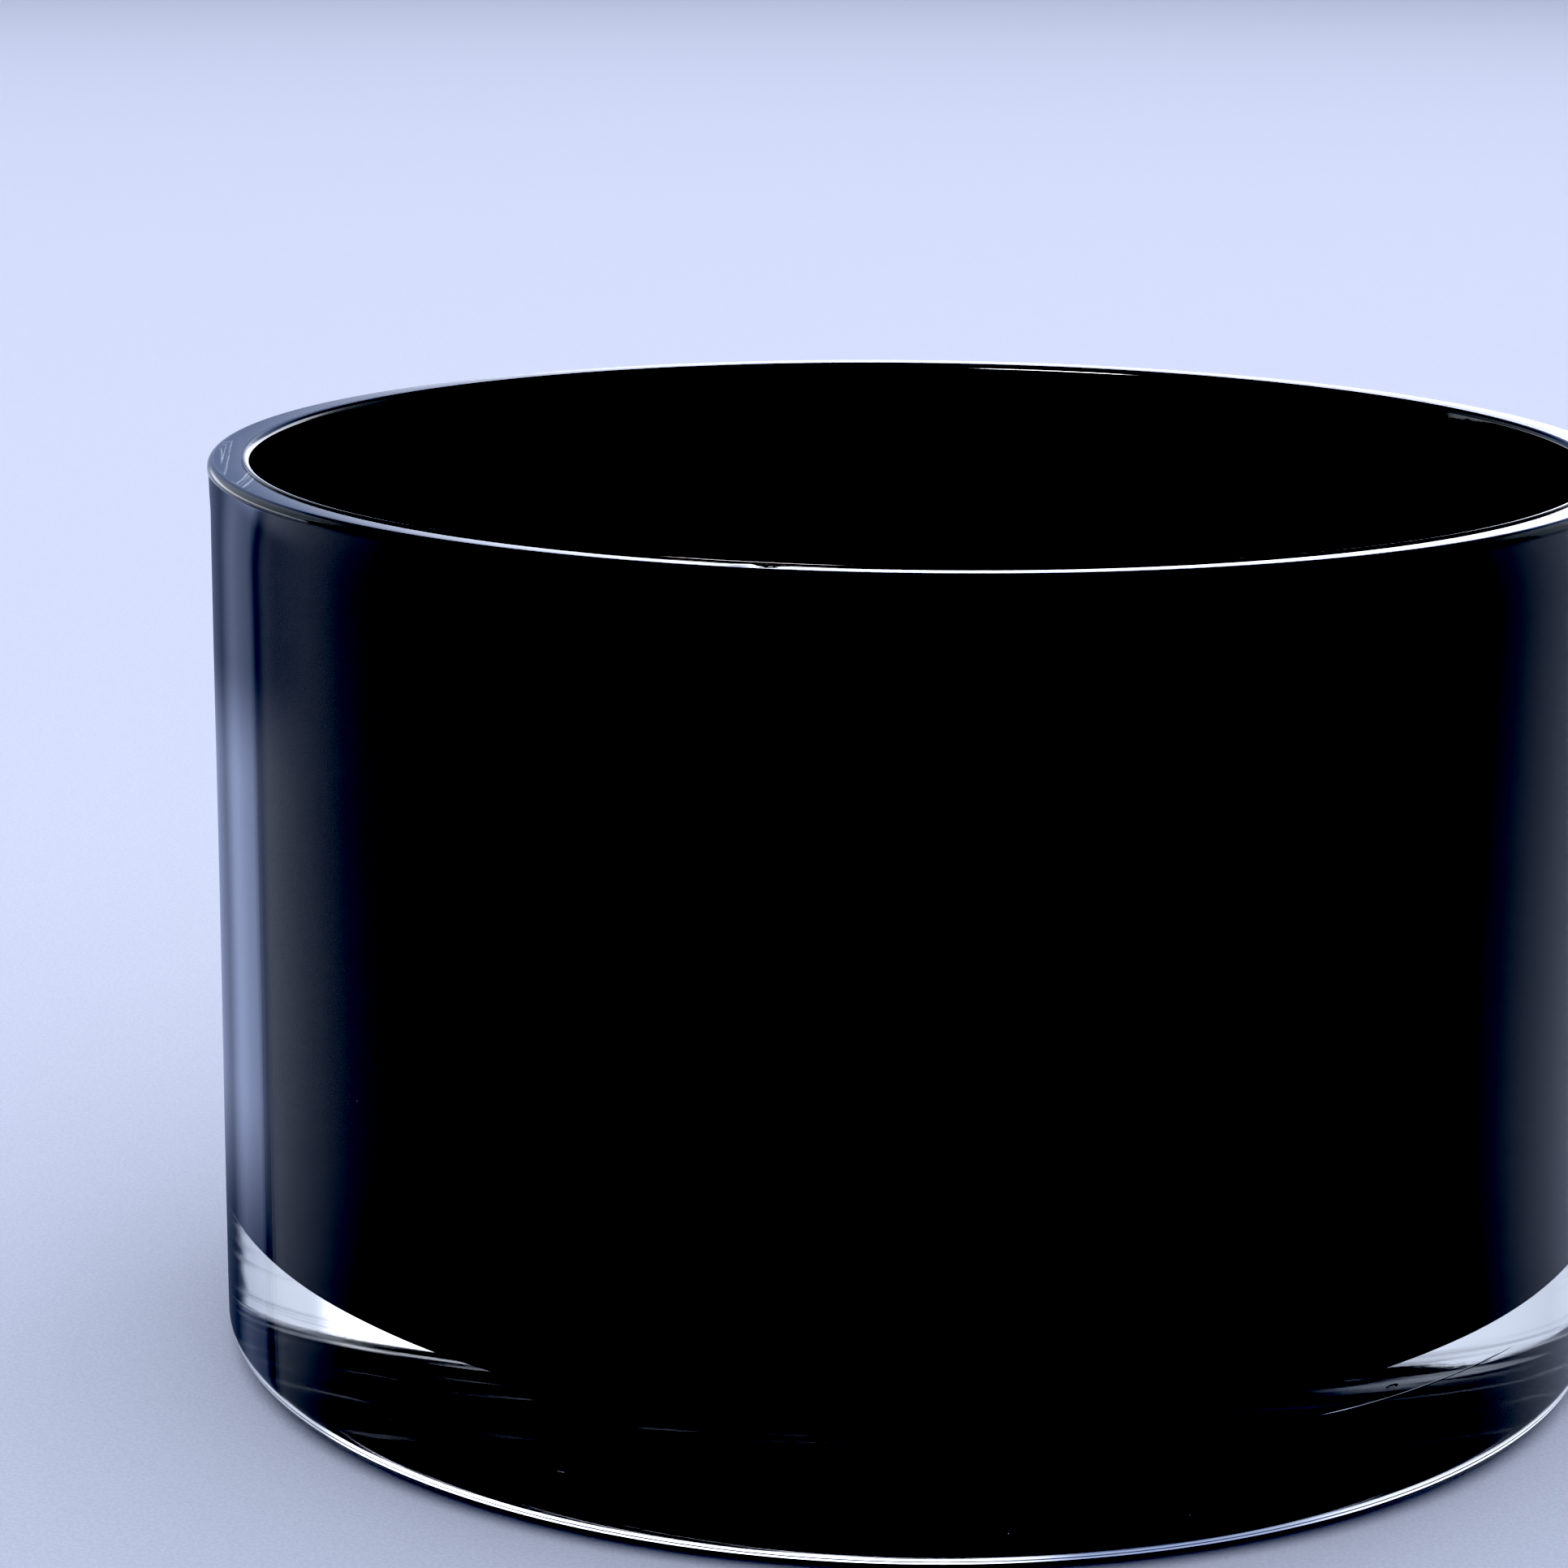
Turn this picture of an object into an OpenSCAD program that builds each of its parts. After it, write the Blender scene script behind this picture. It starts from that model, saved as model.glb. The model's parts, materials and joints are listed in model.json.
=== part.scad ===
// Empty candle jar: a wide, heavy-based bowl of clear glass with straight sides, sprayed black inside.
// The origin is the middle of the circle that the jar stands on, and +Z points out of the mouth.

/* [Outside] */
// Diameter over the rim
mouth_d = 120; // [100:1:150]
// Overall height
height = 77; // [60:1:110]
// How far the side is drawn in from the rim where the heel starts, measured on the radius
foot_inset = 0.2; // [0.1:0.1:1.5]
// Radius of the heel, where the side turns under
heel_r = 3; // [1:0.1:4]

/* [Rim] */
// Glass thickness at the mouth, which is also the width of the rim's full round
wall = 3.45; // [2.5:0.05:6]
// How far the fire-polished rim stands proud of the side, measured on the radius
bead_proud = 0.1; // [0.05:0.05:0.3]
// Height of the sloping underside of that bead, down to the crease
bead_under = 0.6; // [0.3:0.1:2]

/* [Inside] */
// Height of the inside floor above the table
floor_z = 6; // [4:0.5:16]
// Radius of the wide curve between the inside floor and the side
corner_r = 24; // [6:1:30]

/* [Underside] */
// Width of the flat ring that the jar stands on
ring_w = 5; // [2:0.5:10]
// Depth of the very shallow hollow inside that ring, which keeps the jar from rocking
punt_depth = 0.2; // [0.1:0.1:2.5]

/* [Lacquer] */
// Thickness of the black film inside the jar
film = 0.15; // [0.1:0.05:0.4]
// Where the film stops on the rim: 180 is the inside wall and 90 is the top of the rim
film_end = 100; // [95:5:170]

/* [Hidden] */
$fn = 180;

mouth_r = mouth_d / 2;
foot_r = mouth_r - foot_inset;
inner_r = mouth_r - wall;

// The rim's section is a half circle as wide as the wall.
rim_r = wall / 2;
rim_x = mouth_r - rim_r;
rim_z = height - rim_r;

// The side is a straight cone from the top of the heel to the crease under the rim's bead.
crease_r = mouth_r - bead_proud;
crease_z = rim_z - bead_under;

// The heel's section is a quarter circle that touches the table.
heel_x = foot_r - heel_r;

// The hollow underneath is a shallow cap of a large sphere.
punt_r = heel_x - ring_w;
punt_ball_r = (punt_r * punt_r + punt_depth * punt_depth) / (2 * punt_depth);
punt_ball_z = punt_depth - punt_ball_r;
punt_angle = asin(punt_r / punt_ball_r);

// Degrees between the points of an arc, which film_end is a multiple of so that film and glass share points
arc_step = 5;
// Steps in the punt's long, shallow arc
punt_steps = 24;

// Points in n steps on a circle round [x, z] from angle a to angle b, where 0 points outwards and 90 points up
function arc(x, z, r, a, b, n) =
    [for (i = [0:n]) let (t = a + (b - a) * i / n) [x + r * cos(t), z + r * sin(t)]];

// Section of the jar's inside, from the rim at angle a to the middle of the floor, drawn in by inset
function inside_line(a, inset) = concat(
    arc(rim_x - inset, rim_z, rim_r, a, 180, (180 - a) / arc_step),
    arc(inner_r - corner_r, floor_z + corner_r, corner_r - inset, 0, -90, 90 / arc_step),
    [[0, floor_z + inset]]
);

// Section of the jar's outside, from the middle of the punt to the rim where its round starts
outside_line = concat(
    arc(0, punt_ball_z, punt_ball_r, 90, 90 - punt_angle, punt_steps),
    arc(heel_x, heel_r, heel_r, -90, 0, 90 / arc_step),
    [[crease_r, crease_z]]
);

// The points of a line in the opposite order
function reversed(line) = [for (i = [len(line) - 1:-1:0]) line[i]];

// One pressed piece of clear soda-lime glass
module glass_jar() {
    color([0.80, 0.86, 0.90, 0.35])
    rotate_extrude() polygon(concat(outside_line, inside_line(0, 0)));
}

// The black film sprayed over the floor, the curve, the side and the inner half of the rim
module inner_lacquer() {
    color([0.02, 0.02, 0.03])
    rotate_extrude() polygon(concat(inside_line(film_end, film), reversed(inside_line(film_end, 0))));
}

glass_jar();
inner_lacquer();
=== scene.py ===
# %% [markdown]
# # An empty candle jar: clear pressed glass outside, black lacquer inside
#
# The real jar is one pressed piece of soda-lime glass with a coat of gloss black sprayed inside it.
# Nothing is printed on it and nothing moves. What makes it look like glass is where light may travel: it
# enters the clear outside, is stopped by the black bowl behind it, and gets through only in the thick
# clear base. So this lesson is about two closed surfaces that share one boundary, and about what they
# mirror.
#
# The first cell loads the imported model. Its two nodes give the sizes, and its record gives the mouth's
# radius.

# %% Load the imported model
import json

import bpy
import numpy as np
from mathutils import Matrix, Vector


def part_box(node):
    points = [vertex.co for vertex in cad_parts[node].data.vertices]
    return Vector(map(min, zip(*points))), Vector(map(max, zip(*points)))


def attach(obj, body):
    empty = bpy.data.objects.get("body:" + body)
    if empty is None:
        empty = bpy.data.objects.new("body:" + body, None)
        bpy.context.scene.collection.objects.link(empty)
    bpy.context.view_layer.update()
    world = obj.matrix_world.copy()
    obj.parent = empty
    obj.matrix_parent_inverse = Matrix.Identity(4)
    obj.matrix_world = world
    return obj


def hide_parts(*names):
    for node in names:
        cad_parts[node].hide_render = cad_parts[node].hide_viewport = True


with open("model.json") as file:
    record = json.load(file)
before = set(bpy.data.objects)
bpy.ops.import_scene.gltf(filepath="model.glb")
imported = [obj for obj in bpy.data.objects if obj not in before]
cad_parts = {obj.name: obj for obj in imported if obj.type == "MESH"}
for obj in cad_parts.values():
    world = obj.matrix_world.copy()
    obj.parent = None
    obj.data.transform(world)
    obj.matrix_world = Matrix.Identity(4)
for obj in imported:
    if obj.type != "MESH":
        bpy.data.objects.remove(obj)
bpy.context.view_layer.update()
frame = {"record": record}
MM = 0.001

# %% [markdown]
# ## The camera
#
# A jar seen from a little above shows its mouth as an ellipse, and the ellipse of its foot is rounder
# than that of its rim. How much rounder says how near the camera stands. Here it is three jar widths away
# with a long lens, and it is turned so far to the side that the jar runs out of the picture.

# %% Put the camera three jar widths away
CAMERA_BACK = 356.6 * MM
CAMERA_UP = 130.3 * MM
CAMERA_TURN, CAMERA_TIP, CAMERA_ROLL = np.radians([-1.804, 13.04, 0.43])
LENS_MM = 97.05


def add_camera():
    """Turn about the vertical, tip down from the horizon, then roll about the line of sight."""
    data = bpy.data.cameras.new("camera")
    data.lens, data.sensor_width = LENS_MM, 36.0
    data.clip_start, data.clip_end = 0.01, 50.0
    camera = bpy.data.objects.new("camera", data)
    bpy.context.scene.collection.objects.link(camera)
    aim = (
        Matrix.Rotation(-CAMERA_TURN, 4, "Z")
        @ Matrix.Rotation(np.pi / 2 - CAMERA_TIP, 4, "X")
        @ Matrix.Rotation(CAMERA_ROLL, 4, "Z")
    )
    camera.matrix_world = Matrix.Translation((0, -CAMERA_BACK, CAMERA_UP)) @ aim
    bpy.context.scene.camera = camera
    return camera


camera = add_camera()
print("Camera at", [round(v, 3) for v in camera.matrix_world.translation], "with a lens of", LENS_MM, "mm")

# %% [markdown]
# ## Sizes that both surfaces share
#
# A turned shape could be made with Blender's Screw modifier, but its ripples would then need a second
# tool. Here the whole surface is one formula instead: a section swept round the axis, plus a small
# displacement that depends on the place. Most of the section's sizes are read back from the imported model:
# the rim and the height from the glass, the inside floor from the lacquer, and the radius of the free
# bore from the mouth's mount. The rest can't be read from a box, so it repeats the source: the curve, the
# heel, the ring and the hollow.

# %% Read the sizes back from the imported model
glass_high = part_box("glass_jar")[1]
film_low, film_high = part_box("inner_lacquer")
mouth = next(mount for mount in frame["record"]["mounts"] if mount["name"] == "mouth")

RIM_R = float(glass_high[1])
TOP = float(glass_high[2])
FLOOR = float(film_low[2])
FILM = 0.15 * MM
BORE_R = mouth["dims"]["r_mm"] * MM + FILM
CORNER_R = 24 * MM
FOOT_R = RIM_R - 0.2 * MM
HEEL_R = 3 * MM
RING_W = 5 * MM
PUNT = 0.2 * MM
print(f"rim {RIM_R:.4f}, top {TOP:.4f}, floor {FLOOR:.4f}, bore {BORE_R:.5f} m")
print(f"the film reaches up to {film_high[2]:.4f} m")


# %% [markdown]
# ## Lines for a section
#
# Every stretch of a section is an arc or a straight run, so two helpers draw it.

# %% Helpers that draw a section
def arc(centre, radius, start, end, count):
    """Points on a circle: centre plus radius times the cosine and sine of an angle from start to end."""
    t = np.radians(np.linspace(start, end, count))
    return np.column_stack([centre[0] + radius * np.cos(t), centre[1] + radius * np.sin(t)])


def run(start, end, count):
    """Points spread evenly along a straight line, without its two ends."""
    t = np.linspace(0, 1, count + 2)[1:-1, None]
    return np.array(start) * (1 - t) + np.array(end) * t


# %% [markdown]
# ## The rim
#
# When a pressed rim is flame-polished, its two edges melt round. Its crown stays nearly flat between
# them, and sinks by up to three degrees towards the inside. That slope matters more than its size
# suggests: at a grazing angle the near side of the crown mirrors the low bright distance, and draws one
# crisp white line along the mouth.

# %% The rim's section, from the crease under its bead to the top of the straight inside wall
OUTER_EDGE_R = 0.70 * MM
INNER_EDGE_R = 0.30 * MM
CROWN_TILT = (0.3, 2.8)
BEAD = 0.22 * MM
CREASE_BELOW = 2.3 * MM
EDGE_POINTS, CROWN_POINTS, INNER_POINTS = 16, 20, 10
FILM_FROM = EDGE_POINTS + CROWN_POINTS - 4


def rim_line():
    """Outer round, crown and inner round; the crown's slope grows evenly from first tilt to last."""
    outer_centre = (RIM_R - OUTER_EDGE_R, TOP - OUTER_EDGE_R)
    outer = arc(outer_centre, OUTER_EDGE_R, -20, 90 - CROWN_TILT[0], EDGE_POINTS)
    last = np.radians(CROWN_TILT[1])
    width = outer[-1, 0] - BORE_R - INNER_EDGE_R * (1 - np.sin(last))
    across = np.linspace(0, 1, CROWN_POINTS)
    slope = np.tan(np.radians(np.interp(across, [0, 1], CROWN_TILT)))
    drop = np.concatenate([[0], np.cumsum((slope[1:] + slope[:-1]) / 2)]) * width / (CROWN_POINTS - 1)
    crown = np.column_stack([outer[-1, 0] - across * width, outer[-1, 1] - drop])
    centre = (BORE_R + INNER_EDGE_R, crown[-1, 1] - INNER_EDGE_R * np.cos(last))
    inner = arc(centre, INNER_EDGE_R, 90 + CROWN_TILT[1], 180, INNER_POINTS)
    return np.concatenate([outer, crown[1:-1], inner])


rim = rim_line()
print(len(rim), "points on the rim, which is highest at", round(rim[:, 1].max() / MM, 2), "mm")

# %% [markdown]
# ## Sweeping a section round the axis
#
# One function makes both closed surfaces. It works on whole arrays: the rings are a grid of radius,
# height and angle, and each end of the section is one vertex on the axis, so the poles are closed too.
# Faces run so that they look out of the material, which is what lets Cycles know when a ray enters glass
# and when it leaves.

# %% Sweep a section round the axis
AROUND = 480


def grid_faces(rows, columns):
    """Four-cornered faces between neighbouring rows of a grid that closes on itself along each row."""
    i, j = np.arange(rows - 1)[:, None] * columns, np.arange(columns)[None, :]
    k = (j + 1) % columns
    return np.stack([i + j, i + k, i + columns + k, i + columns + j], -1).reshape(-1, 4)


def closed_sweep(line, displace=None):
    """Vertex (i, j) has radius line[i, 0] at angle j and height line[i, 1]; the line ends on the poles.

    displace(x, y, z, i) gives what to add outwards and what to add upwards. Returns vertices and faces.
    """
    angle = np.linspace(0, 2 * np.pi, AROUND, endpoint=False)[None, :]
    r = line[1:-1, 0, None] + 0 * angle
    z = line[1:-1, 1, None] + 0 * angle
    if displace:
        out, up = displace(r * np.cos(angle), r * np.sin(angle), z, np.arange(1, len(line) - 1)[:, None])
        r, z = r + out, z + up
    rings = np.stack([r * np.cos(angle), r * np.sin(angle), z], -1).reshape(-1, 3)
    poles = [[0, 0, line[0, 1]], [0, 0, line[-1, 1]]]

    sides = grid_faces(len(line) - 2, AROUND)
    here = np.arange(AROUND)
    there = (here + 1) % AROUND
    last = (len(line) - 3) * AROUND
    first_fan = np.stack([np.full(AROUND, len(rings)), there, here], -1)
    last_fan = np.stack([last + here, last + there, np.full(AROUND, len(rings) + 1)], -1)
    return np.concatenate([rings, poles]), sides.tolist() + first_fan.tolist() + last_fan.tolist()


def add_piece(name, points, faces):
    """A smooth-shaded mesh object at the origin that stays with the jar's one body."""
    mesh = bpy.data.meshes.new(name)
    mesh.from_pydata(points.tolist(), [], faces)
    mesh.polygons.foreach_set("use_smooth", np.ones(len(faces), bool))
    mesh.update()
    piece = bpy.data.objects.new(name, mesh)
    bpy.context.scene.collection.objects.link(piece)
    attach(piece, "root")
    return piece


# %% [markdown]
# ## Ripples in pressed glass
#
# Pressed glass is never optically flat. The cold mould leaves long soft ripples, strongest underneath,
# and they are noticed only because the bright shapes seen through the base get a wavy edge. A bump in the
# material would bend the light too, but it wouldn't be there in the mesh, so the ripples are real here.
# They are a few hundredths of a millimetre deep at most: a sum of plane waves whose directions turn by
# the golden angle, so that no two run alike.

# %% Ripples, and the one small dent in the rim
UNDER_RIPPLE = 0.005 * MM
SIDE_RIPPLE = 0.010 * MM
DENT_ANGLE, DENT_WIDTH, DENT_DEPTH = np.radians(-100.8), np.radians(0.7), 0.08 * MM
GOLDEN_ANGLE = np.pi * (3 - np.sqrt(5))


def waves(x, y, shortest, longest, count):
    """The sum of cosines of (way . place) / wavelength, with directions a golden angle apart."""
    total = 0
    for n, length in enumerate(np.linspace(shortest, longest, count)):
        along = x * np.cos(n * GOLDEN_ANGLE) + y * np.sin(n * GOLDEN_ANGLE)
        total = total + np.cos(2 * np.pi * along / length + 1.7 * n)
    return total


def fade(value, start, end):
    """0 before start and 1 after end, with an even S between them."""
    t = np.clip((value - start) / (end - start), 0, 1)
    return t * t * (3 - 2 * t)


def glass_ripple(x, y, z, i):
    """The underside moves up and down, the side moves in and out, and the crown dips in one place."""
    r, angle = np.hypot(x, y), np.arctan2(y, x)
    under = (i < SIDE_START) * (1 - fade(r, 44 * MM, 52 * MM))
    side = (i >= SIDE_START) * (i < RIM_START) * fade(z, 3 * MM, 9 * MM) * (1 - fade(z, 60 * MM, 74 * MM))
    on_rim = i - RIM_START
    crown = fade(on_rim, EDGE_POINTS, EDGE_POINTS + 6) * (1 - fade(on_rim, FILM_FROM - 6, FILM_FROM - 1))
    off_dent = (angle - DENT_ANGLE) / DENT_WIDTH
    dent = 0.4 * np.exp(-((off_dent + 2) ** 2)) - np.exp(-(off_dent**2))
    out = side * SIDE_RIPPLE * (np.cos(5 * angle + z / (7 * MM)) + np.cos(9 * angle - z / (11 * MM) + 2))
    out = out - side * SIDE_RIPPLE
    up = under * UNDER_RIPPLE * waves(x, y, 9 * MM, 17 * MM, 6) + crown * DENT_DEPTH * dent
    return out, up


# %% [markdown]
# ## The glass
#
# Its section starts in the middle of the underside, passes the shallow hollow, the ring it stands on, the
# heel, the side and the rim, and comes back over the inside wall and the wide inner curve to the middle
# of the inside floor.

# %% The glass's section
heel_x = FOOT_R - HEEL_R
punt_r = heel_x - RING_W
punt_ball = (punt_r**2 + PUNT**2) / (2 * PUNT)
punt_edge = np.degrees(np.arccos(punt_r / punt_ball))
straight_top, straight_foot = [BORE_R, rim[-1, 1]], [BORE_R, FLOOR + CORNER_R]

underneath = np.concatenate([
    arc((0, PUNT - punt_ball), punt_ball, 90, punt_edge, 38),
    run([punt_r, 0], [heel_x, 0], 4),
    arc((heel_x, HEEL_R), HEEL_R, -90, 0, 22),
])
side = run([FOOT_R, HEEL_R], [RIM_R - BEAD, TOP - CREASE_BELOW], 40)
inside = np.concatenate([
    run(straight_top, straight_foot, 10),
    arc((BORE_R - CORNER_R, FLOOR + CORNER_R), CORNER_R, 0, -90, 22),
    run([BORE_R - CORNER_R, FLOOR], [0, FLOOR], 5),
    [[0, FLOOR]],
])
glass_line = np.concatenate([underneath, side, rim, inside])
SIDE_START = len(underneath)
RIM_START = SIDE_START + len(side)
INSIDE_START = RIM_START + len(rim)
glass_points, glass_faces = closed_sweep(glass_line, glass_ripple)
print("glass:", len(glass_line), "section points,", len(glass_faces), "faces")

# %% [markdown]
# ## Seeds
#
# Small gas bubbles stay in pressed glass, and makers call them seeds. A seed is a hole, so its surface
# belongs to the glass: its faces look into the hole, out of the glass, and it goes into the same mesh as
# the rest of it.

# %% Add a few seeds to the glass's own surface
SEEDS = [
    # angle in degrees, then radius, height, length and thickness in millimetres
    (-47, 53.0, 9.3, 1.3, 0.34), (-118, 54.4, 4.3, 0.8, 0.12), (-67, 54.3, 2.6, 0.34, 0.26),
    (-82, 56.0, 2.8, 0.20, 0.16), (-130, 58.4, 26, 0.22, 0.16), (-137, 58.4, 31, 0.20, 0.15),
    (28, 51.0, 4.6, 0.5, 0.20), (96, 53.5, 5.2, 0.36, 0.24), (161, 55.2, 3.6, 0.9, 0.16),
]
SEED_ROWS, SEED_COLUMNS = 9, 16


def seed_surface(angle, radius, height, length, thickness):
    """An ellipsoid, long axis round the jar, on a grid of latitude and longitude with closed poles."""
    lat = np.radians(np.linspace(-90, 90, SEED_ROWS + 2)[1:-1, None])
    lon = np.linspace(0, 2 * np.pi, SEED_COLUMNS, endpoint=False)[None, :]
    ball = np.stack([np.sin(lat) + 0 * lon, np.cos(lat) * np.cos(lon), np.cos(lat) * np.sin(lon)], -1)
    ball = np.concatenate([ball.reshape(-1, 3), [[-1, 0, 0], [1, 0, 0]]])
    along, across, up = (ball * np.array([length, thickness, thickness]) / 2).T
    t = np.radians(angle)
    x = (radius + across) * np.cos(t) - along * np.sin(t)
    y = (radius + across) * np.sin(t) + along * np.cos(t)
    here = np.arange(SEED_COLUMNS)
    there = (here + 1) % SEED_COLUMNS
    last, pole = (SEED_ROWS - 1) * SEED_COLUMNS, SEED_ROWS * SEED_COLUMNS
    fans = np.stack([np.full(SEED_COLUMNS, pole), there, here], -1).tolist()
    fans += np.stack([last + here, last + there, np.full(SEED_COLUMNS, pole + 1)], -1).tolist()
    return np.column_stack([x, y, height + up]) * MM, grid_faces(SEED_ROWS, SEED_COLUMNS).tolist() + fans


def signed_volume(points, faces):
    """The volume that a closed surface holds, which is below 0 where its faces look inwards."""
    triangles = np.array([(f[0], f[n], f[n + 1]) for f in faces for n in range(1, len(f) - 1)])
    a, b, c = (points[triangles[:, n]] for n in range(3))
    return float((a * np.cross(b, c)).sum() / 6)


glass_volume = signed_volume(glass_points, glass_faces) / MM**3
print("volume inside the glass's skin:", round(glass_volume), "cubic mm")
for seed in SEEDS:
    seed_points, seed_faces = seed_surface(*seed)
    if signed_volume(seed_points, seed_faces) > 0:
        seed_faces = [face[::-1] for face in seed_faces]
    start = len(glass_points)
    glass_points = np.concatenate([glass_points, seed_points])
    glass_faces += [[start + n for n in face] for face in seed_faces]

glass = add_piece("clear_glass_jar", glass_points, glass_faces)
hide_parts("glass_jar")
print("glass with its seeds:", len(glass_faces), "faces")

# %% [markdown]
# ## The lacquer
#
# A sprayed film has two very different faces. The free one is glossy and meets air. The other is bonded
# to the glass, so nothing is mirrored there: light in the glass simply ends. If both surfaces were drawn
# at the same place, or with a gap, Cycles would find air between them and mirror the room in it. So the
# bonded face is drawn two hundredths of a millimetre inside the glass, where rays still in the glass meet
# it first. The film's edge on the rim is a small ledge here, where a real coat would feather out.

# %% The lacquer's section: up the bonded face from the middle of the floor, and back down the free face
BOND = 0.02 * MM
film_rim = rim[FILM_FROM:]


def film_face(inset):
    """The glass's inside moved in by inset: the rim up or sideways, the curve and the floor squarely."""
    turned = np.linspace(0, 1, len(film_rim))
    lift = np.column_stack([-turned, 1 - turned])
    return np.concatenate([
        film_rim + lift * inset,
        run([BORE_R - inset, rim[-1, 1]], [BORE_R - inset, FLOOR + CORNER_R], 10),
        arc((BORE_R - CORNER_R, FLOOR + CORNER_R), CORNER_R - inset, 0, -90, 22),
        run([BORE_R - CORNER_R, FLOOR + inset], [0, FLOOR + inset], 5),
        [[0, FLOOR + inset]],
    ])


bonded_line = film_face(-BOND)[::-1]
free_line = film_face(FILM)
film_points, film_faces = closed_sweep(np.concatenate([bonded_line, free_line]))
film = add_piece("black_lacquer_film", film_points, film_faces)
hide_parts("inner_lacquer")
film_volume = signed_volume(film_points, film_faces) / MM**3
print("film:", len(film_faces), "faces; volume", round(film_volume), "cubic mm")


# %% [markdown]
# ## A small language for shader maths
#
# Node trees are easier to read as sums than as a list of links. Value wraps a socket, so that an
# expression adds its own Math nodes, and Maker builds the other nodes.

# %% Shader maths written as expressions
class Value:
    """A node's output socket, which adds a Math node when it is used in an expression."""

    def __init__(self, maker, socket):
        self.maker, self.socket = maker, socket

    def math(self, operation, *others):
        return self.maker.node("ShaderNodeMath", {"operation": operation}, dict(enumerate((self, *others))))

    def __add__(self, other):
        return self.math("ADD", other)

    def __mul__(self, other):
        return self.math("MULTIPLY", other)

    def __sub__(self, other):
        return self.math("SUBTRACT", other)

    def __rsub__(self, other):
        return self * -1 + other

    def __abs__(self):
        return self.math("ABSOLUTE")

    __radd__, __rmul__ = __add__, __mul__


class Maker:
    """Builds the nodes of one material or world."""

    def __init__(self, owner):
        """Start an empty node tree on a material or a world."""
        owner.use_nodes = True
        self.tree = owner.node_tree
        self.tree.nodes.clear()

    def node(self, kind, settings=None, inputs=None, output=0):
        """Add a node, set it up, then give its sockets values or links; returns one of its outputs."""
        made = self.tree.nodes.new(kind)
        for name, value in (settings or {}).items():
            setattr(made, name, value)
        for name, value in (inputs or {}).items():
            if isinstance(value, Value):
                self.tree.links.new(value.socket, made.inputs[name])
            else:
                made.inputs[name].default_value = value
        return Value(self, made.outputs[output]) if made.outputs else None

    def soft_step(self, value, start, end):
        """0 before start and 1 after end, with an even S between them."""
        inputs = {"Value": value, "From Min": start, "From Max": end}
        return self.node("ShaderNodeMapRange", {"interpolation_type": "SMOOTHSTEP"}, inputs)

    def split(self, vector):
        """The three numbers of a vector."""
        first = self.node("ShaderNodeSeparateXYZ", {}, {0: vector})
        return [Value(self, socket) for socket in first.socket.node.outputs]

    def place(self):
        """Where a point lies on the piece, in metres."""
        return self.node("ShaderNodeTexCoord", output="Object")

    def noise(self, size, detail=2.0, stretch=(1, 1, 1)):
        """Noise from 0 to 1 in patches about size metres across, drawn out along x, y and z by stretch."""
        scale = tuple(1 / (size * s) for s in stretch)
        coords = self.node("ShaderNodeMapping", {}, {"Vector": self.place(), "Scale": scale})
        return self.node("ShaderNodeTexNoise", {}, {"Vector": coords, "Scale": 1.0, "Detail": detail})

    def mix(self, factor, first, second):
        """A colour between two colours."""
        colours = {0: factor, 6: (*first, 1), 7: (*second, 1)}
        return self.node("ShaderNodeMix", {"data_type": "RGBA"}, colours, 2)

    def bump(self, height, distance):
        """A normal bent by a height from 0 to 1, which stands for distance metres."""
        return self.node("ShaderNodeBump", {}, {"Height": height, "Distance": distance})


def finish(name, surface):
    """A material with one Principled shader, whose sockets surface(maker) gives as values or links."""
    material = bpy.data.materials.new(name)
    maker = Maker(material)
    shader = maker.node("ShaderNodeBsdfPrincipled", {}, surface(maker))
    maker.node("ShaderNodeOutputMaterial", {}, {"Surface": shader})
    return material


# %% [markdown]
# ## Clear glass
#
# Glass has almost no colour of its own. Its finish is in its faults: the outside has fine drawn lines up
# the side, which show only in a grazing mirror image, a hairline mould mark runs part of the way round the
# clear base, and the underside, which was never polished, is hazy in streaks. The haze blurs what the
# underside mirrors.

# %% Clear pressed glass
MOULD_MARK_UP = 10.3 * MM


def glass_surface(m):
    """Hazy streaks underneath, a mould mark in one thin band, smudges, and drawn lines on the side."""
    x, y, z = m.split(m.place())
    under = 1 - m.soft_step(z, 0.25 * MM, 0.60 * MM)
    haze = under * (0.03 + 0.15 * m.soft_step(m.noise(2.6 * MM, 2, (8, 1, 1)), 0.42, 0.72))
    off_mark = abs(z - (MOULD_MARK_UP - 0.4 * MM) - 0.8 * MM * m.noise(26 * MM, 1))
    sideways = m.soft_step(x, 28 * MM, 40 * MM) * (1 - m.soft_step(x, 46 * MM, 49 * MM))
    reach = sideways * (1 - m.soft_step(y, -38 * MM, -32 * MM))
    mark = (1 - m.soft_step(off_mark, 0.0, 0.07 * MM)) * reach
    smudge = m.soft_step(m.noise(11 * MM, 4), 0.60, 0.78) * m.soft_step(z, 14 * MM, 20 * MM)
    drawn = m.noise(0.7 * MM, 2, (1, 1, 90))
    return {
        "Base Color": m.mix(m.noise(30 * MM), (0.975, 0.985, 0.987), (0.984, 0.990, 0.990)),
        "Roughness": haze + 0.20 * mark + 0.025 * smudge,
        "Normal": m.bump(0.10 * drawn - mark, 0.02 * MM),
        "Transmission Weight": 1.0,
        "IOR": 1.517,
    }


clear_glass = finish("clear pressed glass", glass_surface)
glass.data.materials.append(clear_glass)
print("materials on the glass:", [m.name for m in glass.data.materials])

# %% [markdown]
# ## Black lacquer
#
# The free face is sprayed and baked, so it has the faint orange peel of every sprayed gloss, and goes dry
# and rough where the spray thins out at its edge on the rim. The bonded face mirrors nothing, and is only
# a deep black with a trace of mottling.

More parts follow.
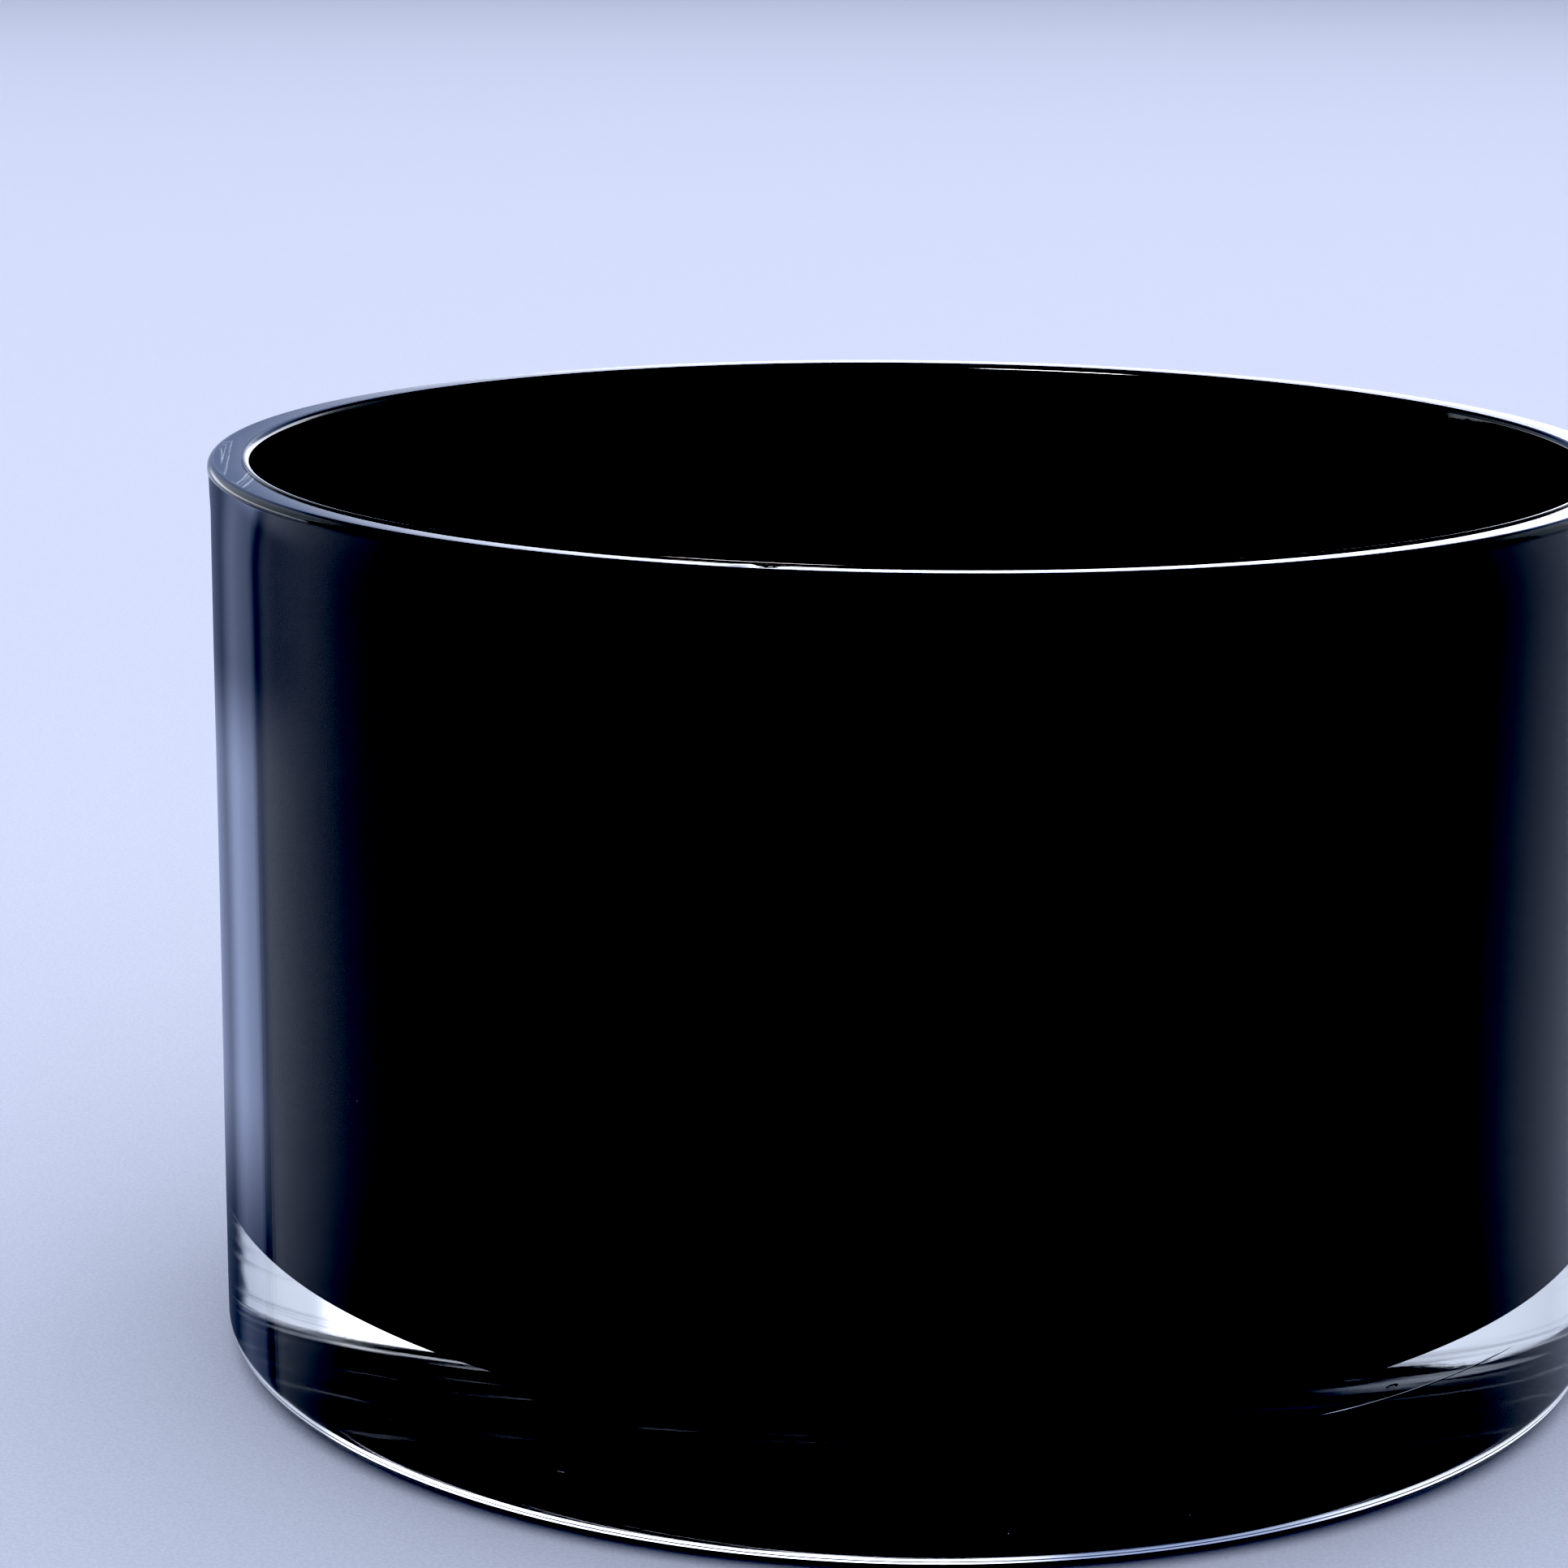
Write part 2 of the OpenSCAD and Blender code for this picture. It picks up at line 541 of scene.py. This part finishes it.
# %% The two faces of the lacquer


def free_face(m):
    """Orange peel all over, and a drier gloss within the last half millimetre of height."""
    z = m.split(m.place())[2]
    dry = m.soft_step(z, TOP - 0.5 * MM, TOP - 0.2 * MM)
    return {
        "Base Color": m.mix(m.noise(6 * MM), (0.0030, 0.0030, 0.0038), (0.0060, 0.0060, 0.0070)),
        "Roughness": 0.04 + 0.05 * m.noise(3 * MM) + 0.06 * dry,
        "Normal": m.bump(m.noise(1.6 * MM), 0.008 * MM),
        "IOR": 1.5,
    }


def bonded_face(m):
    """Deep black with a trace of mottling, and nothing mirrored."""
    return {
        "Base Color": m.mix(m.noise(4 * MM, 3), (0.0006, 0.0006, 0.0008), (0.0022, 0.0020, 0.0020)),
        "Roughness": 1.0,
        "Specular IOR Level": 0.0,
    }


film.data.materials.append(finish("black lacquer, free face", free_face))
film.data.materials.append(finish("black lacquer, bonded face", bonded_face))
faces_on_sides = (len(bonded_line) + len(free_line) - 3) * AROUND
bonded = np.zeros(len(film_faces), np.int32)
bonded[: (len(bonded_line) - 2) * AROUND] = 1
bonded[faces_on_sides : faces_on_sides + AROUND] = 1
film.data.polygons.foreach_set("material_index", bonded)
print(int(bonded.sum()), "of the film's faces are bonded to the glass")

# %% [markdown]
# ## The table
#
# From a little above, a pale table that runs on into a pale distance shows no horizon. Seen level it
# does, because the table is lit less far away. Its surface is a fine matt grain.

# %% A pale table that runs into the distance
PALE = (0.70, 0.76, 0.95)
TABLE_HALF = 12.0
TABLE_Z = -0.05 * MM


def sheet(name, points, faces):
    """A mesh that belongs to the studio and not to the jar."""
    mesh = bpy.data.meshes.new(name)
    mesh.from_pydata(points, [], faces)
    made = bpy.data.objects.new(name, mesh)
    bpy.context.scene.collection.objects.link(made)
    return made


def table_surface(m):
    """A fine grain that changes the colour and the height together."""
    grain = m.noise(0.32 * MM, 3)
    return {
        "Base Color": m.mix(m.soft_step(grain, 0.35, 0.65), (0.690, 0.722, 0.875), (0.745, 0.778, 0.930)),
        "Roughness": 0.8,
        "Specular IOR Level": 0.05,
        "Normal": m.bump(grain, 0.04 * MM),
    }


corners = [(x * TABLE_HALF, y * TABLE_HALF, TABLE_Z) for x, y in ((-1, -1), (1, -1), (1, 1), (-1, 1))]
table = sheet("table", corners, [(0, 1, 2, 3)])
table.data.materials.append(finish("pale table", table_surface))

# %% [markdown]
# ## The studio
#
# A black gloss object shows its surroundings and little else, so the studio is lit for the reflections.
# Behind the jar a low bright window stands in a pale bluish wall, and the ceiling is dark. Paler patches
# behind the camera and to the west keep the base clear from the other sides too. To the camera itself the
# distance is simply pale, whichever way it looks. A world texture's place is a direction, so each patch
# is a few soft steps on how far east, north and up a ray goes.

# %% What stands round the table
WALL_BLUE, WALL_PALE = (0.62, 0.76, 1.20), (0.80, 0.88, 1.06)
WINDOW_WHITE, WINDOW_LEVEL = (1.0, 1.03, 1.12, 1), 2.6
DARKEST = 0.03

world = bpy.data.worlds.new("studio")
bpy.context.scene.world = world
w = Maker(world)
east, north, up = w.split(w.node("ShaderNodeTexCoord", output="Generated"))
behind = w.soft_step(north, 0.30, 0.38)
aside = w.soft_step(abs(east), 0.25, 0.55)
wall = behind * (1 - w.soft_step(up - aside * 0.24, 0.24, 0.56))
window_top = up - w.soft_step(east, 0.28, 0.48) * 0.22
window_sides = w.soft_step(east, -0.16, -0.03) * (1 - w.soft_step(east, 0.56, 0.68))
left_window = w.soft_step(east * -1, 0.34, 0.50) * (1 - w.soft_step(up, 0.09, 0.15))
window = behind * (window_sides * (1 - w.soft_step(window_top, 0.13, 0.22)) + left_window * 0.5)
near_sides = w.soft_step(east, 0.15, 0.35) * (1 - w.soft_step(north, -0.6, -0.3))
near_window = near_sides * w.soft_step(up, 0.15, 0.30) * (1 - w.soft_step(up, 0.55, 0.75))
opposite = (1 - w.soft_step(north, -0.35, -0.15)) * (1 - w.soft_step(up, 0.34, 0.60))
west = w.soft_step(east * -1, 0.78, 0.92) * w.soft_step(up, 0.24, 0.34) * (1 - w.soft_step(up, 0.50, 0.70))

wall_colour = w.mix(aside, WALL_BLUE, WALL_PALE)
room_level = DARKEST + wall * (0.60 + 0.33 * aside) + opposite * 0.75 + west * 0.6 + near_window * 0.25
to_mirrors = w.node("ShaderNodeBackground", {}, {"Color": wall_colour, "Strength": room_level})
window_light = {"Color": WINDOW_WHITE, "Strength": window * WINDOW_LEVEL}
to_mirrors_bright = w.node("ShaderNodeBackground", {}, window_light)
all_mirrored = w.node("ShaderNodeAddShader", {}, {0: to_mirrors, 1: to_mirrors_bright})
to_camera = w.node("ShaderNodeBackground", {}, {"Color": (*PALE, 1), "Strength": 1.0})
is_camera = w.node("ShaderNodeLightPath", output="Is Camera Ray")
seen = w.node("ShaderNodeMixShader", {}, {0: is_camera, 1: all_mirrored, 2: to_camera})
w.node("ShaderNodeOutputWorld", {}, {"Surface": seen})
print("nodes in the studio's world:", len(w.tree.nodes))


# %% [markdown]
# ## Two lamps
#
# A large softbox overhead lights the table, and no mirror image shows it. The other lamp does nothing but
# glint on the melted inner edge at the far side of the rim. It would draw a second line on the near side
# of the glass, so it is linked to the lacquer alone.

# %% The softbox, and the small lamp that glints on the far side of the rim
def lamp(name, place, aim, size, watts, mirrored):
    """A rectangular lamp that looks towards aim, and lights the table or shows in mirror images only."""
    data = bpy.data.lights.new(name, "AREA")
    data.shape, data.size, data.size_y, data.energy = "RECTANGLE", *size, watts
    data.color = (0.93, 0.96, 1.0)
    made = bpy.data.objects.new(name, data)
    bpy.context.scene.collection.objects.link(made)
    way = Vector(aim) - Vector(place)
    made.matrix_world = Matrix.Translation(place) @ way.to_track_quat("-Z", "Y").to_matrix().to_4x4()
    made.visible_camera = False
    made.visible_glossy = made.visible_transmission = mirrored
    made.visible_diffuse = not mirrored
    return made


def only_on(lamp_object, *receivers):
    """Let a lamp light only the given objects."""
    group = bpy.data.collections.new(lamp_object.name + " lights")
    for receiver in receivers:
        group.objects.link(receiver)
    lamp_object.light_linking.receiver_collection = group


lamp("softbox", (0, 0.3, 1.5), (0, 0.3, 0), (5.0, 5.0), 86, mirrored=False)
glint = lamp("glint", (-0.42, -0.80, 0.62), (0, 0, 0.07), (0.46, 0.22), 22, mirrored=True)
only_on(glint, film)

# %% [markdown]
# ## A card beside the jar
#
# A card laid beside a gloss object puts a streak down its side. This card glows by itself, so the streak is
# a painted reflection. It is a fan that starts at the jar's foot: for each place on the side, it runs the
# way in which the camera's line of sight is mirrored, so what changes across the fan changes across the
# jar, and what changes along it changes up the jar. It is dim near the foot and far away, which keeps the
# streak to the middle of the side. Only mirror images show it.

# %% Lay the glowing card, a painted reflection with a dark edge, a bright band and a soft end
CARD_UP = 0.3 * MM
CARD_REACH = 0.45
CARD_FROM, CARD_TO = 79.0, 50.0


def card_points(columns):
    """Two rows: on the jar's foot at angle t from the front, and CARD_REACH along the mirrored way."""
    t = np.radians(np.linspace(CARD_FROM, CARD_TO, columns))
    seen_turn = np.arctan2(RIM_R * np.sin(t), CAMERA_BACK - RIM_R * np.cos(t))
    way = 2 * t + seen_turn
    near = np.column_stack([-np.sin(t), -np.cos(t)]) * RIM_R
    far = near - np.column_stack([np.sin(way), np.cos(way)]) * CARD_REACH
    return np.concatenate([near, far])


CARD_COLUMNS = 41
flat = card_points(CARD_COLUMNS)
first = np.arange(CARD_COLUMNS - 1)
card_faces = np.stack([first, first + 1, first + 1 + CARD_COLUMNS, first + CARD_COLUMNS], -1)
raised = np.column_stack([flat, np.full(len(flat), CARD_UP)])
card = sheet("side_card", raised.tolist(), card_faces.tolist())
across = card.data.attributes.new("across", "FLOAT", "POINT")
across.data.foreach_set("value", np.tile(np.linspace(0, 1, CARD_COLUMNS), 2))
away = card.data.attributes.new("away", "FLOAT", "POINT")
away.data.foreach_set("value", np.repeat([0.0, 1.0], CARD_COLUMNS))
card.visible_camera = card.visible_diffuse = card.visible_transmission = card.visible_shadow = False

card_material = bpy.data.materials.new("card")
m = Maker(card_material)
place = m.node("ShaderNodeAttribute", {"attribute_name": "across"}, output="Fac")
distance = m.node("ShaderNodeAttribute", {"attribute_name": "away"}, output="Fac")
far = m.soft_step(distance, 0.50, 0.70)
streak = m.soft_step(place, 0.24, 0.43) * (1 - m.soft_step(place, 0.55, 0.63))
# Painted reflection: the card's own glow, brighter in the band and dimmer near the foot and far off, draws
# the streak on the jar's side.
level = (0.68 + 1.15 * streak) * (0.30 + 0.70 * m.soft_step(distance, 0.06, 0.20)) * (1 - 0.52 * far)
glow = m.node("ShaderNodeEmission", {}, {"Color": (0.57, 0.67, 1.03, 1), "Strength": level})
clear = m.node("ShaderNodeBsdfTransparent")
see_through = m.soft_step(place, 0.58, 0.70) * (1 - 0.5 * far * (1 - m.soft_step(place, 0.70, 1.0)))
shown = m.node("ShaderNodeMixShader", {}, {0: see_through, 1: glow, 2: clear})
m.node("ShaderNodeOutputMaterial", {}, {"Surface": shown})
card.data.materials.append(card_material)
print("the card's far corners:", (flat[[CARD_COLUMNS, -1]] / MM).round().tolist())

# %% [markdown]
# ## A shade on the other side
#
# The other side of the jar mirrors the open table. A thin grey veil over that part of the table, seen
# only in mirror images, is painted shade: it leaves a darker edge there.

# %% Painted shade: darken what the right side mirrors
SHADE = 0.14
SHADE_CORNERS = ((0.07, -0.1), (0.7, -0.1), (0.7, 0.7), (0.07, 0.7))
shade = sheet("shade_card", [(x, y, CARD_UP) for x, y in SHADE_CORNERS], [(0, 1, 2, 3)])
shade.visible_camera = shade.visible_diffuse = shade.visible_transmission = shade.visible_shadow = False
shade_material = bpy.data.materials.new("shade")
m = Maker(shade_material)
# Painted shade: a dim sheet, seen only in mirror images, darkens the table that the right side mirrors.
dark = m.node("ShaderNodeEmission", {}, {"Color": (0.2, 0.5, 1.0, 1), "Strength": 0.02})
clear = m.node("ShaderNodeBsdfTransparent")
shown = m.node("ShaderNodeMixShader", {}, {0: SHADE, 1: clear, 2: dark})
m.node("ShaderNodeOutputMaterial", {}, {"Surface": shown})
shade.data.materials.append(shade_material)
print("the shade takes away", SHADE, "of what it covers")

# %% [markdown]
# ## The picture's tone
#
# Against a bright table a camera leaves no detail in a black gloss object. The view's curve does the
# same: it takes everything under a twentieth of white down to black.

# %% Set the tone
view = bpy.context.scene.view_settings
view.view_transform, view.look = "Standard", "None"
view.use_curve_mapping = True
BLACK_LEVEL = (0.055, 0.057, 0.066)
view.curve_mapping.black_level = BLACK_LEVEL
view.curve_mapping.update()
print("black from", BLACK_LEVEL, "down")
